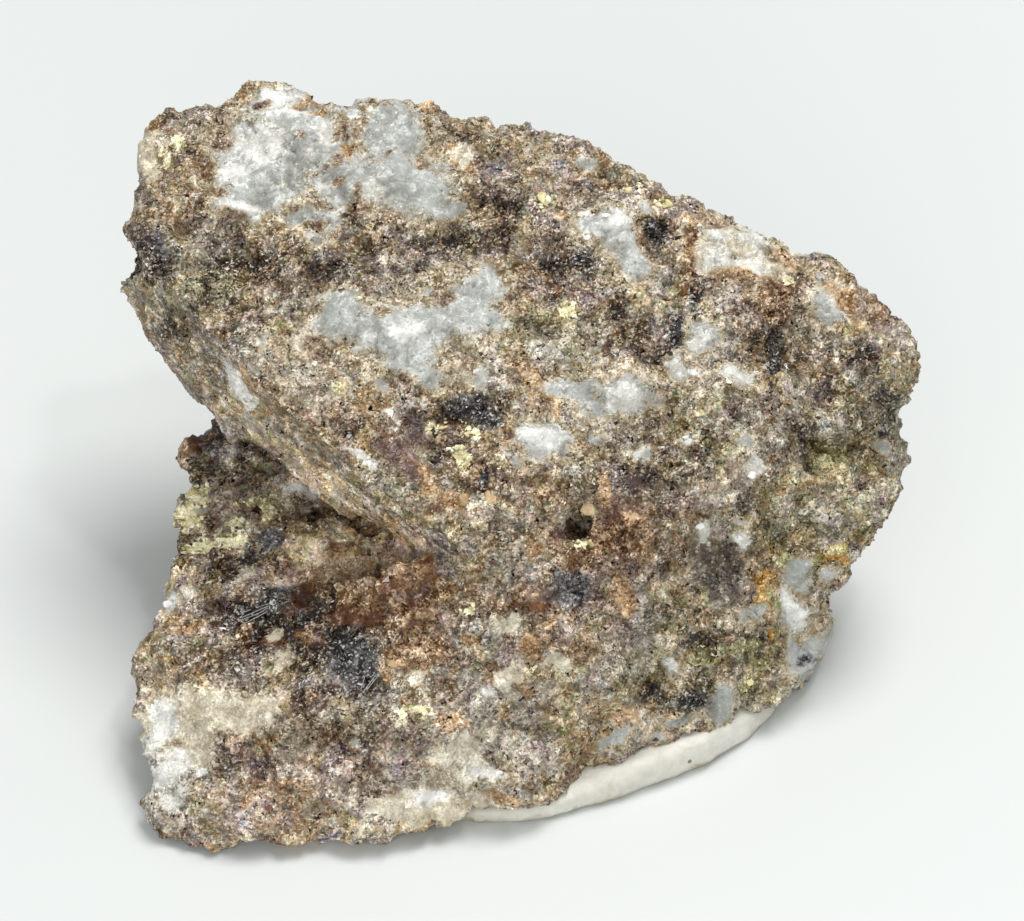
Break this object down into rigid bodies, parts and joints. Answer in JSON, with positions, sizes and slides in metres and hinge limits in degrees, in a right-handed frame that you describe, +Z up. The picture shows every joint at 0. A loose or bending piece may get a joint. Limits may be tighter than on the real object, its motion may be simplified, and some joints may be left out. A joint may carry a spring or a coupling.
{
  "type": "sarcolite mineral specimen",
  "caption": "Broken fragment of granular sarcolite-bearing rock whose slab-like top overhangs a lower block, propped on a flattened wad of mounting putty.",
  "frame": {"origin": "under the middle of the specimen's bounding box, on the plane that it rests on", "axes": "+Z up, +X to the right along the specimen's length, -Y toward the broad front face"},
  "size_m": [0.0486, 0.0398, 0.0275],
  "materials": {
    "rock": "rough sugary crystalline rock with glassy grains",
    "putty": "smooth matte putty"
  },
  "bodies": {
    "root": {"rock": "rock", "putty_pad": "putty"}
  },
  "joints": []
}
